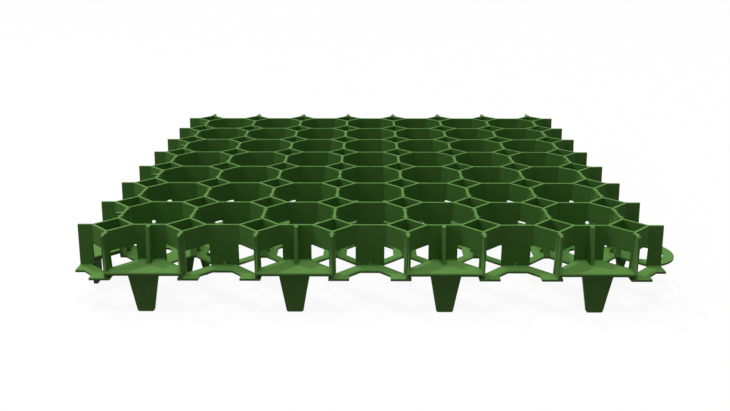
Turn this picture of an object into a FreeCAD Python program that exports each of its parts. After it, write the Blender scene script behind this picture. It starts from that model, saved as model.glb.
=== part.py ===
"""Grass paver grid: one injection-moulded plastic panel that is filled with soil and seed.

The panel is a square array of small cells turned by 45 degrees, with large octagonal cells
between them. Two edges carry raised plates with ground blades, and the other two carry the
ring tabs that slide under a neighbour's plates.

One tile of the lattice and one of each edge fitting are modelled about their own origins. They
are then repeated about the centre of the module, on the underside of its base flange, and the
finished panel is placed with its blade tips at height zero. Lengths are in millimetres.
"""

import FreeCAD
import Part
import math
import os

import Sketcher

NODE = "paver_grid"

# Driving dimensions: alias, value, what it measures
DIMENSIONS = (
    ("cells_per_side", "8", "small cells along each side of the module"),
    ("cell_pitch", "62.5", "distance between the centres of two small cells"),
    ("grid_height", "38.6", "top edge of the walls above the flange's underside"),
    ("wall_thickness", "2.4", "all lattice walls"),
    ("small_cell_half_diagonal", "16.85", "centre to corner of a small cell, on wall centre lines"),
    ("lattice_depth", "18", "depth of the slanted walls below the top edge"),
    ("edge_draft", "1.5", "how far the wall ends lean in at the top of the module"),
    ("column_length", "24.7", "straight wall below the slanted walls, on the flange"),
    ("end_bar_width", "5.8", "cross bar at each end of a lengthwise wall, across the wall"),
    ("end_bar_thickness", "2", "cross bar, along the wall"),
    ("end_bar_lean", "2.4", "how far a cross bar leans towards the wall's middle at the top"),
    ("flange_thickness", "2.1", "base flange and ring tabs"),
    ("base_hole_half_diagonal", "21.8", "hole below a small cell, in flange and plates, centre to corner"),
    ("cell_hole_apothem", "20.8", "octagonal hole below a large cell, centre to straight side"),
    ("cell_hole_side", "18.6", "octagonal hole below a large cell, length of a straight side"),
    ("edge_hole_apothem", "17.1", "the same in a half cell at the module's edge, centre to side"),
    ("edge_hole_side", "16.2", "the same in a half cell at the module's edge, length of a side"),
    ("cells_per_link", "2", "cells from one link to the next along an edge"),
    ("plate_lift", "4.2", "underside of a link plate above the flange's underside"),
    ("plate_thickness", "3.2", "link plate"),
    ("flange_strip", "3.2", "flange kept beside a wall at each side of a link plate"),
    ("rib_thickness", "3.2", "gusset rib on a link plate"),
    ("rib_reach_top", "6.6", "rib in front of the wall's centre line, at the top edge"),
    ("rib_reach_bottom", "14", "rib in front of the wall's centre line, on the plate"),
    ("blade_root_width", "25", "ground blade at the plate's underside"),
    ("blade_tip_width", "13.7", "ground blade at its tip, before its corners are rounded"),
    ("blade_thickness", "3.5", "ground blade"),
    ("blade_length", "32.1", "ground blade below the plate's underside"),
    ("blade_corner_radius", "2", "rounded corners of the blade's tip"),
    ("ring_outer_radius", "30.1", "ring tab, outside"),
    ("ring_inset", "9.2", "middle of the ring tab, inwards from the module's edge"),
    ("ring_hole_radius", "17.3", "ring tab, hole that takes a neighbour's blade"),
    ("ring_hole_inset", "5.2", "middle of that hole, inwards from the module's edge"),
    ("prong_root_width", "11.6", "ground prong at the flange's underside"),
    ("prong_tip_width", "2.8", "ground prong at its tip"),
    ("prong_length", "21", "ground prong below the flange's underside"),
    ("prong_thickness", "2.4", "ground prong"),
    ("prong_offset", "7.4", "middle of a ground prong beside its wall's centre line"),
    ("prong_cells", "6", "cells from one pair of prongs to the next, both ways"),
    ("nub_height", "5.4", "small gusset on the flange of an open edge cell"),
    ("nub_depth", "2.2", "small gusset, out from the wall's face"),
    ("nub_thickness", "2", "small gusset, along the wall"),
)

# Expressions that several sketches share
WALL_LINE = "(dims.cell_pitch / 2)"
WALL_HALF = "(dims.wall_thickness / 2)"
SLANTED_WALL = "(dims.wall_thickness * sqrt(2) / 2)"
PLATE_TOP = "(dims.plate_lift + dims.plate_thickness)"
FLANGE_STRIP = f"({WALL_LINE} - dims.cell_hole_apothem)"
BASE_HOLE = "dims.base_hole_half_diagonal"

# Turns about the upright axis that bring a fitting from the front edge to its own edges
BLADE_EDGES = (0, -90)
RING_EDGES = (90, 180)

# Pairs of prongs along each side of their square
PRONG_ROWS = 2


def make_sheet(doc):
    """Write the driving dimensions into a spreadsheet, one alias for each."""
    sheet = doc.addObject("Spreadsheet::Sheet", "dims")
    for row, (alias, value, meaning) in enumerate(DIMENSIONS, start=1):
        sheet.set(f"A{row}", meaning)
        sheet.set(f"B{row}", value)
        sheet.setAlias(f"B{row}", alias)
    doc.recompute()
    return sheet


def make_body(doc, name):
    """Start a body whose features are modelled about its own origin."""
    body = doc.addObject("PartDesign::Body", name)
    body.Label = name
    return body


def new_sketch(body, name, plane="XY_Plane", level="0"):
    """Attach a sketch to one of the body's origin planes, at a height bound to an expression."""
    sketch = body.newObject("Sketcher::SketchObject", name)
    support = next(item for item in body.Origin.OriginFeatures if item.Role == plane)
    sketch.AttachmentSupport = [(support, "")]
    sketch.MapMode = "FlatFace"
    sketch.setExpression("AttachmentOffset.Base.z", level)
    return sketch


def dimension(sketch, kind, expression, *references):
    """Add a dimension to a sketch and bind it to an expression."""
    value = sketch.evalExpression(expression)
    index = sketch.addConstraint(Sketcher.Constraint(kind, *references, value))
    sketch.setExpression(f"Constraints[{index}]", expression)


def draw_outline(sketch, corners):
    """Draw a closed polygon; each corner is a pair of expressions from the sketch's origin."""
    points = [FreeCAD.Vector(sketch.evalExpression(x), sketch.evalExpression(y)) for x, y in corners]
    first = sketch.GeometryCount
    count = len(points)
    for index, start in enumerate(points):
        sketch.addGeometry(Part.LineSegment(start, points[(index + 1) % count]))
    for index, (x, y) in enumerate(corners):
        line = first + index
        following = first + (index + 1) % count
        sketch.addConstraint(Sketcher.Constraint("Coincident", line, 2, following, 1))
        dimension(sketch, "DistanceX", x, -1, 1, line, 1)
        dimension(sketch, "DistanceY", y, -1, 1, line, 1)


def both_sides(half):
    """Close an outline that is symmetric about the sketch's vertical axis."""
    return half + [(f"-{x}", y) for x, y in reversed(half)]


def both_ends(corners):
    """Give an outline and its mirror image about the sketch's vertical axis."""
    return [corners, [(f"-{x}", y) for x, y in corners]]


def four_turns(corners):
    """Repeat corners three times more, a quarter turn further each time."""
    turned = [(f"-{y}", x) for x, y in corners]
    opposite = [(f"-{x}", f"-{y}") for x, y in corners]
    last = [(y, f"-{x}") for x, y in corners]
    return [corners, turned, opposite, last]


def half_octagon(size):
    """Give the right half of a hole's outline, from the module's edge inwards."""
    apothem = f"dims.{size}_hole_apothem"
    side = f"(dims.{size}_hole_side / 2)"
    return [(apothem, "0"), (apothem, side), (side, apothem)]


def extrude(body, kind, name, sketch, length, upward=True, symmetric=False):
    """Make a pad or a pocket of a sketch with a bound length."""
    feature = body.newObject(f"PartDesign::{kind}", name)
    feature.Profile = sketch
    feature.Reversed = upward if kind == "Pocket" else not upward
    if symmetric:
        feature.SideType = "Symmetric"
    feature.setExpression("Length", length)
    return feature


def make_tile(doc):
    """Model one small cell, its half walls and its share of the flange, about the cell's centre."""
    body = make_body(doc, "tile")
    base = new_sketch(body, "flange_outline")
    slant = f"({WALL_LINE} - dims.cell_hole_side / 2)"
    quarter = [
        (WALL_LINE, FLANGE_STRIP),
        (slant, FLANGE_STRIP),
        (FLANGE_STRIP, slant),
        (FLANGE_STRIP, WALL_LINE),
    ]
    draw_outline(base, sum(four_turns(quarter), []))
    draw_outline(base, sum(four_turns([(BASE_HOLE, "0")]), []))
    extrude(body, "Pad", "flange", base, "dims.flange_thickness")

    near = f"({WALL_LINE} - dims.column_length / 2)"
    foot = "dims.flange_thickness"
    top = "dims.grid_height"
    cross_columns = new_sketch(body, "cross_column_outline", level=foot)
    column = [
        (near, f"-{WALL_HALF}"),
        (WALL_LINE, f"-{WALL_HALF}"),
        (WALL_LINE, WALL_HALF),
        (near, WALL_HALF),
    ]
    for outline in both_ends(column):
        draw_outline(cross_columns, outline)
    extrude(body, "Pad", "cross_columns", cross_columns, f"{top} - {foot}")

    near_top = f"({near} + dims.end_bar_lean)"
    long_columns = new_sketch(body, "long_column_outline", "YZ_Plane")
    for outline in both_ends([(near, foot), (WALL_LINE, foot), (WALL_LINE, top), (near_top, top)]):
        draw_outline(long_columns, outline)
    extrude(body, "Pad", "long_columns", long_columns, "dims.wall_thickness", symmetric=True)

    far = f"({near} + dims.end_bar_thickness)"
    far_top = f"({near_top} + dims.end_bar_thickness)"
    end_bars = new_sketch(body, "end_bar_outline", "YZ_Plane")
    for outline in both_ends([(near, foot), (far, foot), (far_top, top), (near_top, top)]):
        draw_outline(end_bars, outline)
    extrude(body, "Pad", "end_bars", end_bars, "dims.end_bar_width", symmetric=True)

    level = "dims.grid_height - dims.lattice_depth"
    straight_walls = new_sketch(body, "straight_wall_outline", level=level)
    arm = [(WALL_LINE, f"-{WALL_HALF}"), (WALL_LINE, WALL_HALF), (WALL_HALF, WALL_HALF)]
    draw_outline(straight_walls, sum(four_turns(arm), []))
    extrude(body, "Pad", "straight_walls", straight_walls, "dims.lattice_depth")

    slanted_walls = new_sketch(body, "slanted_wall_outline", level=level)
    outer_tip = f"(dims.small_cell_half_diagonal + {SLANTED_WALL})"
    draw_outline(slanted_walls, sum(four_turns([(outer_tip, "0")]), []))
    extrude(body, "Pad", "slanted_walls", slanted_walls, "dims.lattice_depth")

    small_cell = new_sketch(body, "small_cell_outline", level=level)
    inner_tip = f"(dims.small_cell_half_diagonal - {SLANTED_WALL})"
    draw_outline(small_cell, sum(four_turns([(inner_tip, "0")]), []))
    extrude(body, "Pocket", "small_cell", small_cell, "dims.lattice_depth")
    return body


def make_edge_trim(doc):
    """Model the wedge that leans the wall ends of one edge inwards, from the flange to the top."""
    body = make_body(doc, "edge_trim")
    outline = new_sketch(body, "edge_trim_outline", "YZ_Plane")
    outside = "-dims.edge_draft"
    foot = "dims.flange_thickness"
    top = "dims.grid_height"
    draw_outline(outline, [(outside, foot), ("0", foot), ("dims.edge_draft", top), (outside, top)])
    length = "dims.cells_per_side * dims.cell_pitch + 2 * dims.edge_draft"
    extrude(body, "Pad", "edge_trim_wedge", outline, length, symmetric=True)
    return body


def make_edge_arches(doc):
    """Model the wider flange of a half cell and of a corner cell, inwards from the module's edge."""
    inner = half_octagon("edge")
    outer = half_octagon("cell")
    half_ring = both_sides(outer) + both_sides(inner)[::-1]
    meeting = [("0", "dims.cell_hole_apothem"), ("0", "dims.edge_hole_apothem")]
    bodies = []
    for name, corners in (("edge_arch", half_ring), ("corner_arch", outer + meeting + inner[::-1])):
        body = make_body(doc, name)
        outline = new_sketch(body, f"{name}_outline")
        draw_outline(outline, corners)
        extrude(body, "Pad", f"{name}_flange", outline, "dims.flange_thickness")
        bodies.append(body)
    return bodies


def make_link_gap(doc):
    """Model the flange area that is left out below a link plate, inwards from the module's edge."""
    body = make_body(doc, "link_gap")
    outline = new_sketch(body, "link_gap_outline")
    slant = "(dims.cell_pitch - dims.small_cell_half_diagonal)"
    side = f"({WALL_LINE} - dims.flange_strip)"
    back = f"({WALL_LINE} - {WALL_HALF})"
    half = [(side, "0"), (side, f"({slant} - {side})"), (f"({slant} - {back})", back)]
    draw_outline(outline, both_sides(half))
    extrude(body, "Pad", "link_gap_block", outline, "dims.flange_thickness")
    return body


def draw_blade(sketch):
    """Draw a tapered blade with rounded tip corners, its root on the sketch's horizontal axis."""
    root = sketch.evalExpression("dims.blade_root_width / 2")
    tip = sketch.evalExpression("dims.blade_tip_width / 2")
    length = sketch.evalExpression("dims.blade_length")
    radius = sketch.evalExpression("dims.blade_corner_radius")
    flat = tip - radius
    lines = [
        sketch.addGeometry(Part.LineSegment(FreeCAD.Vector(*start), FreeCAD.Vector(*end)))
        for start, end in (
            ((-root, 0), (root, 0)),
            ((root, 0), (tip, radius - length)),
            ((flat, -length), (-flat, -length)),
            ((-tip, radius - length), (-root, 0)),
        )
    ]
    arcs = []
    for side, span in ((1, (-math.pi / 2, 0)), (-1, (-math.pi, -math.pi / 2))):
        centre = FreeCAD.Vector(side * flat, radius - length)
        circle = Part.Circle(centre, FreeCAD.Vector(0, 0, 1), radius)
        arcs.append(sketch.addGeometry(Part.ArcOfCircle(circle, *span)))
    top, right, bottom, left = lines
    for kind, *references in (
        ("Coincident", top, 2, right, 1),
        ("Coincident", left, 2, top, 1),
        ("Tangent", right, 2, arcs[0], 2),
        ("Tangent", arcs[0], 1, bottom, 1),
        ("Tangent", bottom, 2, arcs[1], 2),
        ("Tangent", arcs[1], 1, left, 1),
    ):
        sketch.addConstraint(Sketcher.Constraint(kind, *references))
    for sign, edge, end in (("", right, 1), ("-", left, 2)):
        dimension(sketch, "DistanceX", f"{sign}dims.blade_root_width / 2", -1, 1, edge, end)
        dimension(sketch, "DistanceY", "0", -1, 1, edge, end)
        point = FreeCAD.Vector(sketch.evalExpression(f"{sign}dims.blade_tip_width / 2"), -length)
        corner = sketch.addGeometry(Part.Point(point), True)
        dimension(sketch, "DistanceX", f"{sign}dims.blade_tip_width / 2", -1, 1, corner, 1)
        dimension(sketch, "DistanceY", "-dims.blade_length", -1, 1, corner, 1)
        for line in (edge, bottom):
            sketch.addConstraint(Sketcher.Constraint("PointOnObject", corner, 1, line))
    for arc in arcs:
        dimension(sketch, "Radius", "dims.blade_corner_radius", arc)


def make_blade_link(doc):
    """Model a raised plate with its rib and blade, inwards from the module's edge."""
    body = make_body(doc, "blade_link")
    plate = new_sketch(body, "plate_outline", level="dims.plate_lift")
    corner = f"({WALL_LINE} - {BASE_HOLE})"
    half = [(WALL_LINE, "0"), (WALL_LINE, corner), (corner, WALL_LINE)]
    draw_outline(plate, both_sides(half))
    extrude(body, "Pad", "plate", plate, "dims.plate_thickness")

    rib = new_sketch(body, "rib_outline", "YZ_Plane")
    front_top = f"({WALL_LINE} - dims.rib_reach_top)"
    front_bottom = f"({WALL_LINE} - dims.rib_reach_bottom)"
    top = "dims.grid_height"
    draw_outline(
        rib,
        [(front_bottom, PLATE_TOP), (WALL_LINE, PLATE_TOP), (WALL_LINE, top), (front_top, top)],
    )
    extrude(body, "Pad", "rib", rib, "dims.rib_thickness", symmetric=True)

    blade = new_sketch(body, "blade_outline", "XZ_Plane")
    blade.setExpression("AttachmentOffset.Base.y", "dims.plate_lift")
    draw_blade(blade)
    extrude(body, "Pad", "blade", blade, "dims.blade_thickness", upward=False)
    return body


def draw_circle(sketch, height, radius):
    """Draw a circle on the sketch's vertical axis, with its middle and radius bound."""
    centre = FreeCAD.Vector(0, sketch.evalExpression(height))
    circle = Part.Circle(centre, FreeCAD.Vector(0, 0, 1), sketch.evalExpression(radius))
    index = sketch.addGeometry(circle)
    dimension(sketch, "DistanceX", "0", -1, 1, index, 3)
    dimension(sketch, "DistanceY", height, -1, 1, index, 3)
    dimension(sketch, "Radius", radius, index)


def make_ring_hole(doc):
    """Model the hole of a ring tab as a solid, inwards from the module's edge."""
    body = make_body(doc, "ring_hole")
    outline = new_sketch(body, "ring_hole_outline")
    draw_circle(outline, "dims.ring_hole_inset", "dims.ring_hole_radius")
    extrude(body, "Pad", "ring_hole_core", outline, "dims.flange_thickness")
    return body


def draw_segment(sketch):
    """Draw the part of the ring's disc beyond the module's edge, which is the horizontal axis."""
    radius = sketch.evalExpression("dims.ring_outer_radius")
    inset = sketch.evalExpression("dims.ring_inset")
    half = math.sqrt(radius**2 - inset**2)
    circle = Part.Circle(FreeCAD.Vector(0, inset), FreeCAD.Vector(0, 0, 1), radius)
    first = math.atan2(-inset, -half)
    last = math.atan2(-inset, half)
    arc = sketch.addGeometry(Part.ArcOfCircle(circle, first, last))
    chord = sketch.addGeometry(Part.LineSegment(FreeCAD.Vector(half, 0), FreeCAD.Vector(-half, 0)))
    sketch.addConstraint(Sketcher.Constraint("Coincident", arc, 2, chord, 1))
    sketch.addConstraint(Sketcher.Constraint("Coincident", chord, 2, arc, 1))
    dimension(sketch, "DistanceX", "0", -1, 1, arc, 3)
    dimension(sketch, "DistanceY", "dims.ring_inset", -1, 1, arc, 3)
    dimension(sketch, "Radius", "dims.ring_outer_radius", arc)
    for end in (1, 2):
        dimension(sketch, "DistanceY", "0", -1, 1, chord, end)


def make_ring_tab(doc):
    """Model a ring tab that fills its half cell's hole, inwards from the module's edge."""
    body = make_body(doc, "ring_tab")
    inside = new_sketch(body, "ring_inside_outline")
    draw_outline(inside, both_sides(half_octagon("cell")))
    extrude(body, "Pad", "ring_inside", inside, "dims.flange_thickness")

    outside = new_sketch(body, "ring_outside_outline")
    draw_segment(outside)
    extrude(body, "Pad", "ring_outside", outside, "dims.flange_thickness")

    hole = new_sketch(body, "ring_clearance_outline")
    draw_circle(hole, "dims.ring_hole_inset", "dims.ring_hole_radius")
    extrude(body, "Pocket", "ring_clearance", hole, "dims.flange_thickness")
    return body


def make_prong_pair(doc):
    """Model two tapered prongs that hang under the flange, either side of a straight wall."""
    body = make_body(doc, "prong_pair")
    outline = new_sketch(body, "prong_outline", "XZ_Plane")
    root = "dims.prong_root_width / 2"
    tip = "dims.prong_tip_width / 2"
    for sign in ("", "-"):
        middle = f"{sign}dims.prong_offset"
        draw_outline(
            outline,
            [
                (f"{middle} - {root}", "0"),
                (f"{middle} + {root}", "0"),
                (f"{middle} + {tip}", "-dims.prong_length"),
                (f"{middle} - {tip}", "-dims.prong_length"),
            ],
        )
    extrude(body, "Pad", "prongs", outline, "dims.prong_thickness", symmetric=True)
    return body


def make_nub(doc):
    """Model the small gusset on the flange of an open edge cell, inwards from the module's edge."""
    body = make_body(doc, "nub")
    outline = new_sketch(body, "nub_outline", "YZ_Plane")
    toe = f"({WALL_LINE} - {WALL_HALF} - dims.nub_depth)"
    foot = "dims.flange_thickness"
    top = "dims.flange_thickness + dims.nub_height"
    draw_outline(outline, [(toe, foot), (WALL_LINE, foot), (WALL_LINE, top)])
    extrude(body, "Pad", "nub_gusset", outline, "dims.nub_thickness", symmetric=True)
    return body


def in_line(shape, step, count):
    """Repeat a shape from where it is."""
    return [shape.translated(step * index) for index in range(count)]


def on_edges(shape, positions, out, turns):
    """Place an edge fitting at each position along an edge, turned onto each of some edges."""
    copies = []
    for turn in turns:
        rotation = FreeCAD.Rotation(FreeCAD.Vector(0, 0, 1), turn)
        for position in positions:
            centre = rotation.multVec(FreeCAD.Vector(position, -out))
            copies.append(shape.transformed(FreeCAD.Placement(centre, rotation).toMatrix()))
    return copies


def make_panel(doc, sheet):
    """Repeat the tile and the fittings over the module and join them into one panel."""
    tile = make_tile(doc)
    edge_trim = make_edge_trim(doc)
    link_gap = make_link_gap(doc)
    blade_link = make_blade_link(doc)
    ring_hole = make_ring_hole(doc)
    ring_tab = make_ring_tab(doc)
    edge_arch, corner_arch = make_edge_arches(doc)
    prong_pair = make_prong_pair(doc)
    nub = make_nub(doc)
    doc.recompute()

    pitch = sheet.cell_pitch
    count = sheet.cells_per_side
    out = count * pitch / 2
    links = [cell * pitch - out for cell in range(1, count, sheet.cells_per_link)]
    open_cells = [cell * pitch - out for cell in range(sheet.cells_per_link, count, sheet.cells_per_link)]
    along_x = FreeCAD.Vector(pitch, 0)
    along_y = FreeCAD.Vector(0, pitch)
    corner = FreeCAD.Vector(-out, -out)

    first_tile = tile.Shape.translated(corner + (along_x + along_y) / 2)
    tiles = in_line(first_tile, along_x, count)
    row = tiles[0].multiFuse(tiles[1:]).removeSplitter()
    rows = in_line(row, along_y, count)
    lattice = rows[0].multiFuse(rows[1:])

    trims = on_edges(edge_trim.Shape, [0], out, BLADE_EDGES + RING_EDGES)
    trims += on_edges(link_gap.Shape, links, out, BLADE_EDGES)
    trims += on_edges(ring_hole.Shape, links, out, RING_EDGES)
    trimmed = lattice.cut(trims)

    fittings = on_edges(blade_link.Shape, links, out, BLADE_EDGES)
    fittings += on_edges(nub.Shape, open_cells, out, BLADE_EDGES)
    fittings += on_edges(ring_tab.Shape, links, out, RING_EDGES)
    fittings += on_edges(edge_arch.Shape, open_cells, out, BLADE_EDGES + RING_EDGES)
    fittings += on_edges(corner_arch.Shape, [-out], out, BLADE_EDGES + RING_EDGES)
    first_pair = prong_pair.Shape.translated(corner + along_x + along_x / 2 + along_y)
    for pair in in_line(first_pair, along_x * sheet.prong_cells, PRONG_ROWS):
        fittings += in_line(pair, along_y * sheet.prong_cells, PRONG_ROWS)
    joined = trimmed.multiFuse(fittings)

    panel = doc.addObject("Part::Feature", NODE)
    panel.Label = NODE
    (panel.Shape,) = joined.Solids
    shift = (sheet.ring_inset - sheet.ring_outer_radius) / 2
    panel.Placement.Base = FreeCAD.Vector(shift, shift, sheet.blade_length - sheet.plate_lift)
    return panel


def check(doc, panel):
    """Stop if any object failed or the panel is not one valid solid."""
    for item in doc.Objects:
        if "Invalid" in item.State or "Error" in item.State:
            raise RuntimeError(f"{item.Name} failed: {item.State}")
    shape = panel.Shape
    if shape.isNull() or not shape.isValid() or len(shape.Solids) != 1:
        raise RuntimeError(f"{panel.Label} is not one valid solid")


def main():
    """Build the panel, check it and write it out."""
    doc = FreeCAD.newDocument("grass_paver_grid")
    sheet = make_sheet(doc)
    panel = make_panel(doc, sheet)
    doc.recompute()
    check(doc, panel)
    os.makedirs("parts", exist_ok=True)
    panel.Shape.exportStep(f"parts/{panel.Label}.step")
    print(panel.Label, "volume", round(panel.Shape.Volume), panel.Shape.BoundBox)


main()
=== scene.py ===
"""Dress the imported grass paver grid: moulded details, green plastic, a white studio and the camera.

The panel is one moulding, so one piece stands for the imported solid: a copy of it, fused with the
small gussets, feet, lips and plates of its cells and with the radii that a mould leaves on its edges.
"""

import logging
import math
from dataclasses import dataclass, field
from enum import Enum

import bmesh
import bpy
from mathutils import Euler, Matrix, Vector


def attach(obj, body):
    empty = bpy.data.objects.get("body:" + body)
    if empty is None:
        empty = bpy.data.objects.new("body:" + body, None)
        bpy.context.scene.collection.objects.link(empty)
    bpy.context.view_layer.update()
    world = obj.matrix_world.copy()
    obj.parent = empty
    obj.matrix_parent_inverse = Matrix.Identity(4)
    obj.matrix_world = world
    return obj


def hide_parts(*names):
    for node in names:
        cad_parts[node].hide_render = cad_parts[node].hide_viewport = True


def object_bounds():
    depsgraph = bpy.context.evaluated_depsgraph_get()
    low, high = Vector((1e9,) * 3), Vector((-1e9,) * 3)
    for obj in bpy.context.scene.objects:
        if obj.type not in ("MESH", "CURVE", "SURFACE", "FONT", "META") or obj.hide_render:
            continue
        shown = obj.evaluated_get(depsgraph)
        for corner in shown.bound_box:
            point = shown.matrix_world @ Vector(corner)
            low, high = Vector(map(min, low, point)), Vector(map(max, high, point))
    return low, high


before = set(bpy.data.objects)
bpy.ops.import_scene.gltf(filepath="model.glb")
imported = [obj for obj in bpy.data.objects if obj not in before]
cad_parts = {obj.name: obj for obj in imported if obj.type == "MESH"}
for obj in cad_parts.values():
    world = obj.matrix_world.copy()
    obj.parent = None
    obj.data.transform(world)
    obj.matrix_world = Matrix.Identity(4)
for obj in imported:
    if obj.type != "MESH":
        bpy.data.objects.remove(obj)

CAD_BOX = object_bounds()
PHOTO_WIDTH = 730
HALF_MODULE = 0.25
UP = Vector((0.0, 0.0, 1.0))
QUARTER_TURN = math.pi / 2

log = logging.getLogger("paver_grid")

Colour = tuple[float, float, float, float]


class LampKind(Enum):
    """How a studio lamp spreads its light."""

    SOFTBOX = "AREA"
    SUN = "SUN"


class Seen(Enum):
    """Light path outputs of the rays that show the white background."""

    CAMERA = "Is Camera Ray"
    GLOSSY = "Is Glossy Ray"
    TRANSMISSION = "Is Transmission Ray"


@dataclass
class NodeBoard:
    """A node tree with short calls for adding and joining its nodes."""

    tree: bpy.types.NodeTree

    def add(self, kind: str, **inputs: object) -> bpy.types.Node:
        """Add a node and set or link some of its inputs.

        Args:
            kind: Node type, without its ShaderNode prefix.
            inputs: Values or output sockets by input name, with spaces as underscores.

        Returns:
            The new node.
        """
        node = self.tree.nodes.new(f"ShaderNode{kind}")
        for name, value in inputs.items():
            self.feed(node.inputs[name.replace("_", " ")], value)
        return node

    def feed(self, socket: bpy.types.NodeSocket, value: object) -> None:
        """Set a socket to a value, or link it if the value is an output socket.

        Args:
            socket: Input socket.
            value: Number, colour or output socket.
        """
        if isinstance(value, bpy.types.NodeSocket):
            self.tree.links.new(value, socket)
        else:
            socket.default_value = value

    def maths(self, operation: str, *values: object) -> bpy.types.NodeSocket:
        """Add a Math node.

        Args:
            operation: Name of the operation, such as ADD.
            values: Numbers or output sockets, in the node's order.

        Returns:
            The node's output socket.
        """
        node = self.tree.nodes.new("ShaderNodeMath")
        node.operation = operation
        for socket, value in zip(node.inputs, values):
            self.feed(socket, value)
        return node.outputs[0]

    def noise(self, place: bpy.types.NodeSocket, scale: float, detail: float) -> bpy.types.NodeSocket:
        """Add a noise texture.

        Args:
            place: Coordinates that the noise follows.
            scale: Noise cells for each metre.
            detail: Octaves of finer noise.

        Returns:
            The noise factor, from 0 to 1.
        """
        return self.add("TexNoise", Vector=place, Scale=scale, Detail=detail).outputs["Fac"]

    def blend(self, factor: object, first: object, second: object) -> bpy.types.NodeSocket:
        """Mix two colours.

        Args:
            factor: Share of the second colour, as a number or a socket.
            first: Colour or socket at factor 0.
            second: Colour or socket at factor 1.

        Returns:
            The mixed colour.
        """
        node = self.tree.nodes.new("ShaderNodeMix")
        node.data_type = "RGBA"
        sockets = [item for item in node.inputs if item.enabled]
        for socket, value in zip(sockets, (factor, first, second)):
            self.feed(socket, value)
        return next(item for item in node.outputs if item.enabled)

    def seen_white(self) -> bpy.types.NodeSocket:
        """Tell the rays that show the background from those that light the panel.

        Returns:
            A factor that is 1 for the rays that show the background.
        """
        path = self.add("LightPath")
        total: object = 0.0
        for ray in Seen:
            total = self.maths("MAXIMUM", total, path.outputs[ray.value])
        return total


@dataclass(frozen=True)
class GreenPlastic:
    """Dyed-through moulded polyolefin: a satin green with faint flow clouds and a fine grain."""

    name: str = "green_plastic_moulded"
    deep_green: Colour = (0.102, 0.250, 0.052, 1.0)
    light_green: Colour = (0.130, 0.294, 0.070, 1.0)
    cloud_scale: float = 14.0
    cloud_detail: float = 4.0
    grain_scale: float = 1400.0
    grain_detail: float = 2.0
    grain_depth: float = 0.00004
    grain_strength: float = 0.35
    smooth: float = 0.55
    rough: float = 0.72
    specular: float = 0.06

    def material(self) -> bpy.types.Material:
        """Build the material on object coordinates.

        Returns:
            The finished material.
        """
        material = bpy.data.materials.new(self.name)
        material.use_nodes = True
        board = NodeBoard(material.node_tree)
        shader = material.node_tree.nodes["Principled BSDF"]
        place = board.add("TexCoord").outputs["Object"]
        clouds = board.noise(place, self.cloud_scale, self.cloud_detail)
        grain = board.noise(place, self.grain_scale, self.grain_detail)
        green = board.blend(clouds, self.deep_green, self.light_green)
        board.feed(shader.inputs["Base Color"], green)
        spread = board.maths("MULTIPLY_ADD", grain, self.rough - self.smooth, self.smooth)
        board.feed(shader.inputs["Roughness"], spread)
        bump = board.add("Bump", Strength=self.grain_strength, Distance=self.grain_depth, Height=grain)
        board.feed(shader.inputs["Normal"], bump.outputs["Normal"])
        shader.inputs["Specular IOR Level"].default_value = self.specular
        return material


@dataclass(frozen=True)
class WhiteFloor:
    """Pale studio floor that reads as white and still takes a faint shadow."""

    name: str = "white_floor"
    bounce: Colour = (0.16, 0.16, 0.16, 1.0)
    paint: Colour = (0.96, 0.96, 0.96, 1.0)
    white: Colour = (1.0, 1.0, 1.0, 1.0)
    glow_share: float = 0.93

    def material(self) -> bpy.types.Material:
        """Build the floor's material.

        Returns:
            A matt paint that shows white to the camera and throws little light back up.
        """
        material = bpy.data.materials.new(self.name)
        material.use_nodes = True
        board = NodeBoard(material.node_tree)
        nodes = material.node_tree.nodes
        nodes.remove(nodes["Principled BSDF"])
        seen = board.seen_white()
        paint = board.add("BsdfDiffuse", Color=board.blend(seen, self.bounce, self.paint))
        glow = board.add("Emission", Color=self.white)
        share = board.maths("MULTIPLY", seen, self.glow_share)
        mix = board.add("MixShader")
        for socket, value in zip(mix.inputs, (share, paint.outputs[0], glow.outputs[0])):
            board.feed(socket, value)
        board.feed(nodes["Material Output"].inputs["Surface"], mix.outputs[0])
        return material


def repeat(shape: bmesh.types.BMesh, step: Vector, copies: int, turn: float = 0.0) -> None:
    """Repeat all of a shape in a row, or about the upright axis.

    Args:
        shape: Mesh that is repeated.
        step: Shift from each copy to the next.
        copies: Number of copies beside the first.
        turn: Angle from the first to the last copy.
    """
    geometry = shape.verts[:] + shape.edges[:] + shape.faces[:]
    bmesh.ops.spin(
        shape,
        geom=geometry,
        cent=Vector(),
        axis=UP,
        dvec=step,
        angle=turn,
        steps=copies,
        use_merge=False,
        use_duplicate=True,
    )


def cut_edges(
    shape: bmesh.types.BMesh, edges: list[bmesh.types.BMEdge], offset: float, segments: int
) -> None:
    """Bevel some edges.

    Args:
        shape: Mesh that the edges belong to.
        edges: Edges that are cut.
        offset: Width of the cut on each face.
        segments: Steps across the cut.
    """
    bmesh.ops.bevel(
        shape,
        geom=edges,
        offset=offset,
        offset_type="OFFSET",
        segments=segments,
        profile=0.5,
        affect="EDGES",
        clamp_overlap=False,
        loop_slide=True,
        material=-1,
    )


def as_object(shape: bmesh.types.BMesh, name: str) -> bpy.types.Object:
    """Turn a finished shape into an object of the scene.

    Args:
        shape: Mesh that is used up.
        name: Name of the object and its mesh.

    Returns:
        The object, at the origin.
    """
    mesh = bpy.data.meshes.new(name)
    shape.to_mesh(mesh)
    shape.free()
    item = bpy.data.objects.new(name, mesh)
    bpy.context.scene.collection.objects.link(item)
    return item


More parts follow.
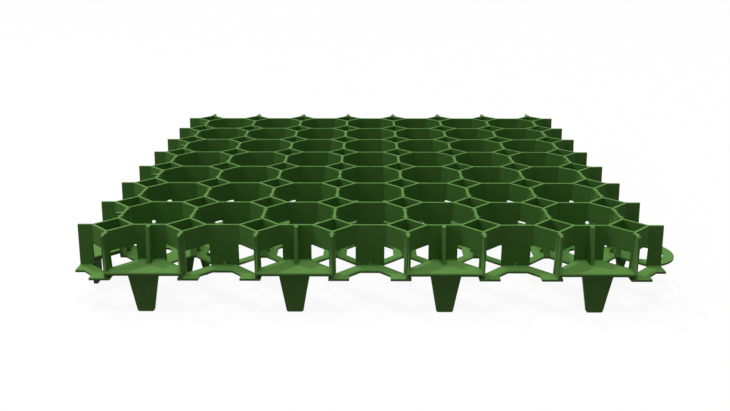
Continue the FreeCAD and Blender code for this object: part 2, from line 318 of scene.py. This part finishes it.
@dataclass
class CellDetails:
    """Small forms on the walls and the flange, placed from the middle of the flange's underside.

    Sizes of a nub are its depth from the wall, width and height, and sizes of a foot its width,
    depth along the wall and height. A form reaches into the panel by the sink, and a peg plate stands
    proud of the flange by a hair, so that no two faces of what is fused share a plane.
    """

    pitch: float = 0.0625
    cells: int = 8
    underside: float = 0.0279
    flange: float = 0.0021
    sink: float = 0.0003
    nub_wall: float = 0.03005
    nub_size: tuple[float, float, float] = (0.0036, 0.0020, 0.0054)
    foot_middle: float = 0.0199
    foot_size: tuple[float, float, float] = (0.0056, 0.0018, 0.0018)
    foot_margin: float = 0.0004
    lip_radius: float = 0.0173
    lip_inset: float = 0.0052
    lip_edge: float = 0.0091
    lip_step: float = 0.0006
    lip_segments: int = 42
    lip_spacing: float = 0.125
    lips: int = 4
    peg_reach: float = 0.1875
    peg_hole: float = 0.0086
    peg_plate: float = 0.0234
    peg_segments: int = 40
    peg_proud: float = 0.00002

    def build(self) -> list[bpy.types.Object]:
        """Build each kind of detail as one closed mesh.

        Returns:
            Scratch objects, to be joined with the panel.
        """
        low = CAD_BOX[0]
        base = Vector((low.x + HALF_MODULE, low.y + HALF_MODULE, low.z + self.underside))
        objects = []
        for name, shape in (
            ("wall_nubs", self.wall_nubs()),
            ("bar_feet", self.bar_feet()),
            ("ring_lips", self.ring_lips()),
            ("peg_plates", self.peg_plates()),
        ):
            bmesh.ops.translate(shape, verts=shape.verts, vec=base)
            bmesh.ops.recalc_face_normals(shape, faces=shape.faces)
            objects.append(as_object(shape, name))
        return objects

    def wall_nubs(self) -> bmesh.types.BMesh:
        """Make the gussets at the foot of the four straight walls of every whole cell.

        Returns:
            A mesh of separate wedges.
        """
        depth, width, height = self.nub_size
        shape = bmesh.new()
        bmesh.ops.create_cube(shape, size=1.0)
        bmesh.ops.scale(
            shape, verts=shape.verts, vec=Vector((depth + self.sink, width, height + self.sink))
        )
        inset = self.nub_wall + (self.sink - depth) / 2
        middle = Vector((inset, 0.0, self.flange + (height - self.sink) / 2))
        bmesh.ops.translate(shape, verts=shape.verts, vec=middle)
        tip = [vert for vert in shape.verts if vert.co.x < middle.x and vert.co.z > middle.z]
        bmesh.ops.translate(shape, verts=tip, vec=Vector((depth, 0.0, 0.0)))
        repeat(shape, Vector(), 3, 3 * QUARTER_TURN)
        self.spread(shape, self.cells - 1)
        return shape

    def bar_feet(self) -> bmesh.types.BMesh:
        """Make the feet of the cross bars, which reach down through the flange.

        Returns:
            A mesh of separate blocks.
        """
        width, depth, height = self.foot_size
        shape = bmesh.new()
        bmesh.ops.create_cube(shape, size=1.0)
        bmesh.ops.scale(shape, verts=shape.verts, vec=Vector((width, depth, height + self.sink)))
        rise = self.flange - (height - self.sink) / 2
        bmesh.ops.translate(shape, verts=shape.verts, vec=Vector((0.0, self.foot_middle, rise)))
        repeat(shape, Vector(), 1, 2 * QUARTER_TURN)
        self.spread(shape, self.cells)
        return shape

    def ring_lips(self) -> bmesh.types.BMesh:
        """Make the straight lips at the inner side of the ring tabs' holes.

        Returns:
            A mesh of separate plates.
        """
        shape = bmesh.new()
        radius = self.lip_radius + self.sink
        bmesh.ops.create_circle(shape, cap_ends=True, segments=self.lip_segments, radius=radius)
        bmesh.ops.bisect_plane(
            shape,
            geom=shape.verts[:] + shape.edges[:] + shape.faces[:],
            plane_co=Vector((-self.lip_edge, 0.0, 0.0)),
            plane_no=Vector((1.0, 0.0, 0.0)),
            clear_outer=True,
        )
        raised = bmesh.ops.extrude_face_region(shape, geom=shape.faces[:], use_keep_orig=True)
        verts = [item for item in raised["geom"] if isinstance(item, bmesh.types.BMVert)]
        bmesh.ops.translate(shape, verts=verts, vec=UP * (self.flange - 2 * self.lip_step))
        first = -self.lip_spacing * (self.lips - 1) / 2
        middle = Vector((HALF_MODULE - self.lip_inset, first, self.lip_step))
        bmesh.ops.translate(shape, verts=shape.verts, vec=middle)
        repeat(shape, Vector((0.0, self.lip_spacing, 0.0)), self.lips - 1)
        repeat(shape, Vector(), 1, QUARTER_TURN)
        return shape

    def peg_plates(self) -> bmesh.types.BMesh:
        """Make the plates that close the four outer corner cells but for a round peg hole.

        Returns:
            A mesh of separate rings.
        """
        shape = bmesh.new()
        low, high = -self.peg_proud, self.flange + self.peg_proud
        corners = [
            shape.verts.new(Vector((radius, 0.0, height)))
            for radius, height in (
                (self.peg_hole, low),
                (self.peg_plate, low),
                (self.peg_plate, high),
                (self.peg_hole, high),
            )
        ]
        outline = [shape.edges.new(pair) for pair in zip(corners, corners[1:] + corners[:1])]
        bmesh.ops.spin(
            shape,
            geom=corners + outline,
            cent=Vector(),
            axis=UP,
            angle=4 * QUARTER_TURN,
            steps=self.peg_segments,
            use_merge=True,
        )
        reach = Vector((self.peg_reach, self.peg_reach, 0.0))
        bmesh.ops.translate(shape, verts=shape.verts, vec=reach)
        repeat(shape, Vector(), 3, 3 * QUARTER_TURN)
        return shape

    def place_in_cell(self, edge: bmesh.types.BMEdge) -> tuple[float, float, float]:
        """Measure where an edge lies from the middle of the nearest small cell.

        Args:
            edge: Edge of the panel.

        Returns:
            Distances of the edge's middle across and along the lengthwise walls, and its height
            above the flange's top.
        """
        middle = (edge.verts[0].co + edge.verts[1].co) / 2 - CAD_BOX[0]
        half = self.pitch / 2
        across = abs(middle.x % self.pitch - half)
        along = abs(middle.y % self.pitch - half)
        return across, along, middle.z - self.underside - self.flange

    def on_foot(self, edge: bmesh.types.BMEdge) -> bool:
        """Say whether an edge belongs to a cross bar's foot or to the bar's lower end.

        Args:
            edge: Edge of the panel.

        Returns:
            True for an edge within the foot's block or its margin.
        """
        across, along, rise = self.place_in_cell(edge)
        width, depth, height = self.foot_size
        inside = across < width / 2 + self.foot_margin
        beside = abs(along - self.foot_middle) < depth / 2 + self.foot_margin
        return inside and beside and -height - self.foot_margin < rise < self.foot_margin

    def spread(self, shape: bmesh.types.BMesh, count: int) -> None:
        """Repeat a shape over a square array about the module's middle.

        Args:
            shape: Mesh about the middle of one cell.
            count: Cells along each side of the array.
        """
        first = -self.pitch * (count - 1) / 2
        bmesh.ops.translate(shape, verts=shape.verts, vec=Vector((first, first, 0.0)))
        repeat(shape, Vector((self.pitch, 0.0, 0.0)), count - 1)
        repeat(shape, Vector((0.0, self.pitch, 0.0)), count - 1)


@dataclass
class MouldedGrid:
    """The one moulded panel, with its small details and with radii along its edges.

    The two outer corners of each cross bar, found by their reach across the wall and their distance
    from the small cell, take a chamfer.
    """

    node: str = "paver_grid"
    name: str = "paver_grid_moulded"
    slot: str = "green_plastic"
    merge_distance: float = 2e-6
    flat_angle: float = math.radians(0.5)
    sharp_angle: float = math.radians(15.0)
    short_edge: float = 0.00025
    edge_radius: float = 0.0003
    edge_segments: int = 2
    bar_chamfer: float = 0.0014
    chamfer_segments: int = 1
    bar_reach: float = 0.0029
    bar_back: float = 0.0221
    bar_height: float = 0.030
    details: CellDetails = field(default_factory=CellDetails)
    finish: GreenPlastic = field(default_factory=GreenPlastic)

    def build(self) -> bpy.types.Object:
        """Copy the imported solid, join the details to it and round its edges.

        Returns:
            The finished piece, riding on the panel's only body.
        """
        shape = self.joined_shape()
        bmesh.ops.dissolve_limit(
            shape, angle_limit=self.flat_angle, verts=shape.verts, edges=shape.edges
        )
        bars = [edge for edge in shape.edges if self.is_bar(edge)]
        cut_edges(shape, bars, self.bar_chamfer, self.chamfer_segments)
        sharp = [edge for edge in shape.edges if self.is_sharp(edge)]
        cut_edges(shape, sharp, self.edge_radius, self.edge_segments)
        piece = as_object(shape, self.name)
        self.dress(piece)
        return piece

    def joined_shape(self) -> bmesh.types.BMesh:
        """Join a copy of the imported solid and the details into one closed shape.

        Returns:
            The mesh of the whole panel.
        """
        shape = bmesh.new()
        shape.from_mesh(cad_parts[self.node].data)
        bmesh.ops.remove_doubles(shape, verts=shape.verts, dist=self.merge_distance)
        panel = as_object(shape, "plain_panel")
        details = self.details.build()
        for item in details:
            union = panel.modifiers.new(item.name, "BOOLEAN")
            union.operation = "UNION"
            union.solver = "EXACT"
            union.object = item
        solid = panel.evaluated_get(bpy.context.evaluated_depsgraph_get())
        whole = bmesh.new()
        whole.from_mesh(solid.to_mesh())
        solid.to_mesh_clear()
        for item in (panel, *details):
            bpy.data.meshes.remove(item.data)
        bmesh.ops.remove_doubles(whole, verts=whole.verts, dist=self.merge_distance)
        return whole

    def is_bar(self, edge: bmesh.types.BMEdge) -> bool:
        """Say whether an upright edge belongs to a cross bar's side away from its small cell.

        Args:
            edge: Edge of the panel.

        Returns:
            True for the two long edges of each bar that are chamfered.
        """
        across, along, _ = self.details.place_in_cell(edge)
        on_corner = abs(across - self.bar_reach) + abs(along - self.bar_back) < self.edge_radius
        return on_corner and edge.calc_length() > self.bar_height

    def is_sharp(self, edge: bmesh.types.BMEdge) -> bool:
        """Say whether an edge is one that the mould rounds.

        Args:
            edge: Edge of the panel.

        Returns:
            True unless the edge is nearly flat, meets a very short edge or is part of a bar's foot.
        """
        if edge.calc_face_angle(0.0) < self.sharp_angle or self.details.on_foot(edge):
            return False
        neighbours = [near for vert in edge.verts for near in vert.link_edges]
        return min(near.calc_length() for near in neighbours) > self.short_edge

    def dress(self, piece: bpy.types.Object) -> None:
        """Shade the rounded edges, give the piece its finish and tie it to the frame.

        Args:
            piece: The panel's mesh object.
        """
        piece.data.shade_smooth()
        piece.modifiers.new("flat_face_shading", "WEIGHTED_NORMAL")
        piece.data.materials.append(self.finish.material())
        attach(piece, "root")
        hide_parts(self.node)


@dataclass(frozen=True)
class StudioLamp:
    """One lamp, given by where it stands above the panel and how strong it is."""

    name: str
    kind: LampKind
    place: tuple[float, float, float]
    strength: float
    spread: float

    def build(self, target: Vector) -> bpy.types.Object:
        """Add the lamp, aimed at a point.

        Args:
            target: Point that the lamp looks at.

        Returns:
            The lamp's object.
        """
        lamp = bpy.data.lights.new(self.name, self.kind.value)
        lamp.energy = self.strength
        if self.kind is LampKind.SUN:
            lamp.angle = self.spread
        else:
            lamp.shape = "SQUARE"
            lamp.size = self.spread
        stand = bpy.data.objects.new(self.name, lamp)
        stand.location = target + Vector(self.place)
        stand.rotation_euler = (-Vector(self.place)).to_track_quat("-Z", "Y").to_euler()
        bpy.context.scene.collection.objects.link(stand)
        return stand


@dataclass
class Studio:
    """White surroundings: a floor, a dim sky, two suns from above and a softbox at the left."""

    floor_half: float = 9.0
    sky_colour: Colour = (1.0, 1.0, 1.0, 1.0)
    sky_strength: float = 0.12
    floor: WhiteFloor = field(default_factory=WhiteFloor)
    lamps: tuple[StudioLamp, ...] = (
        StudioLamp("overhead_light", LampKind.SUN, (0.0, 0.0, 2.0), 1.65, math.radians(20.0)),
        StudioLamp("left_softbox", LampKind.SOFTBOX, (-2.0, -0.7, 1.2), 9.0, 1.2),
        StudioLamp("back_left_light", LampKind.SUN, (-1.0, 1.0, 2.0), 1.05, math.radians(3.0)),
    )

    def build(self) -> None:
        """Build the floor, the sky and the lamps."""
        self.lay_floor()
        self.light_sky()
        middle = (CAD_BOX[0] + CAD_BOX[1]) / 2
        for lamp in self.lamps:
            lamp.build(middle)
            log.info("lamp %s", lamp.name)

    def lay_floor(self) -> None:
        """Lay the floor under the panel's lowest points."""
        shape = bmesh.new()
        bmesh.ops.create_grid(shape, x_segments=1, y_segments=1, size=self.floor_half)
        bmesh.ops.translate(shape, verts=shape.verts, vec=Vector((0.0, 0.0, CAD_BOX[0].z)))
        floor = as_object(shape, "floor")
        floor.data.materials.append(self.floor.material())

    def light_sky(self) -> None:
        """Show a white sky to the camera and light the panel with a dim one."""
        world = bpy.data.worlds.new("studio_sky")
        world.use_nodes = True
        board = NodeBoard(world.node_tree)
        background = world.node_tree.nodes["Background"]
        background.inputs["Color"].default_value = self.sky_colour
        dim = self.sky_strength
        strength = board.maths("MULTIPLY_ADD", board.seen_white(), 1.0 - dim, dim)
        board.feed(background.inputs["Strength"], strength)
        bpy.context.scene.world = world


@dataclass(frozen=True)
class PhotoCamera:
    """The photograph's camera, placed from the middle of the module's top plane."""

    eye: tuple[float, float, float] = (0.0004, -0.8502, 0.2236)
    pitch_down: float = math.radians(18.11)
    turn_left: float = math.radians(0.423)
    focal_pixels: float = 789.6
    sensor: float = 36.0
    near_clip: float = 0.01

    def build(self) -> bpy.types.Object:
        """Add the camera and make it the scene's own.

        Returns:
            The camera's object.
        """
        lens = bpy.data.cameras.new("photo_camera")
        lens.sensor_width = self.sensor
        lens.lens = self.sensor * self.focal_pixels / PHOTO_WIDTH
        lens.clip_start = self.near_clip
        camera = bpy.data.objects.new("photo_camera", lens)
        low, high = CAD_BOX
        top_centre = Vector((low.x + HALF_MODULE, low.y + HALF_MODULE, high.z))
        camera.location = top_centre + Vector(self.eye)
        camera.rotation_euler = Euler((QUARTER_TURN - self.pitch_down, 0.0, self.turn_left))
        bpy.context.scene.collection.objects.link(camera)
        bpy.context.scene.camera = camera
        return camera


def main() -> None:
    """Build the panel, the studio and the camera."""
    logging.basicConfig(level=logging.INFO)
    bpy.context.scene.view_settings.view_transform = "Standard"
    panel = MouldedGrid().build()
    log.info("piece %s with %d faces", panel.name, len(panel.data.polygons))
    Studio().build()
    camera = PhotoCamera().build()
    log.info("camera at %s", tuple(round(value, 4) for value in camera.location))


if __name__ == "__main__":
    main()
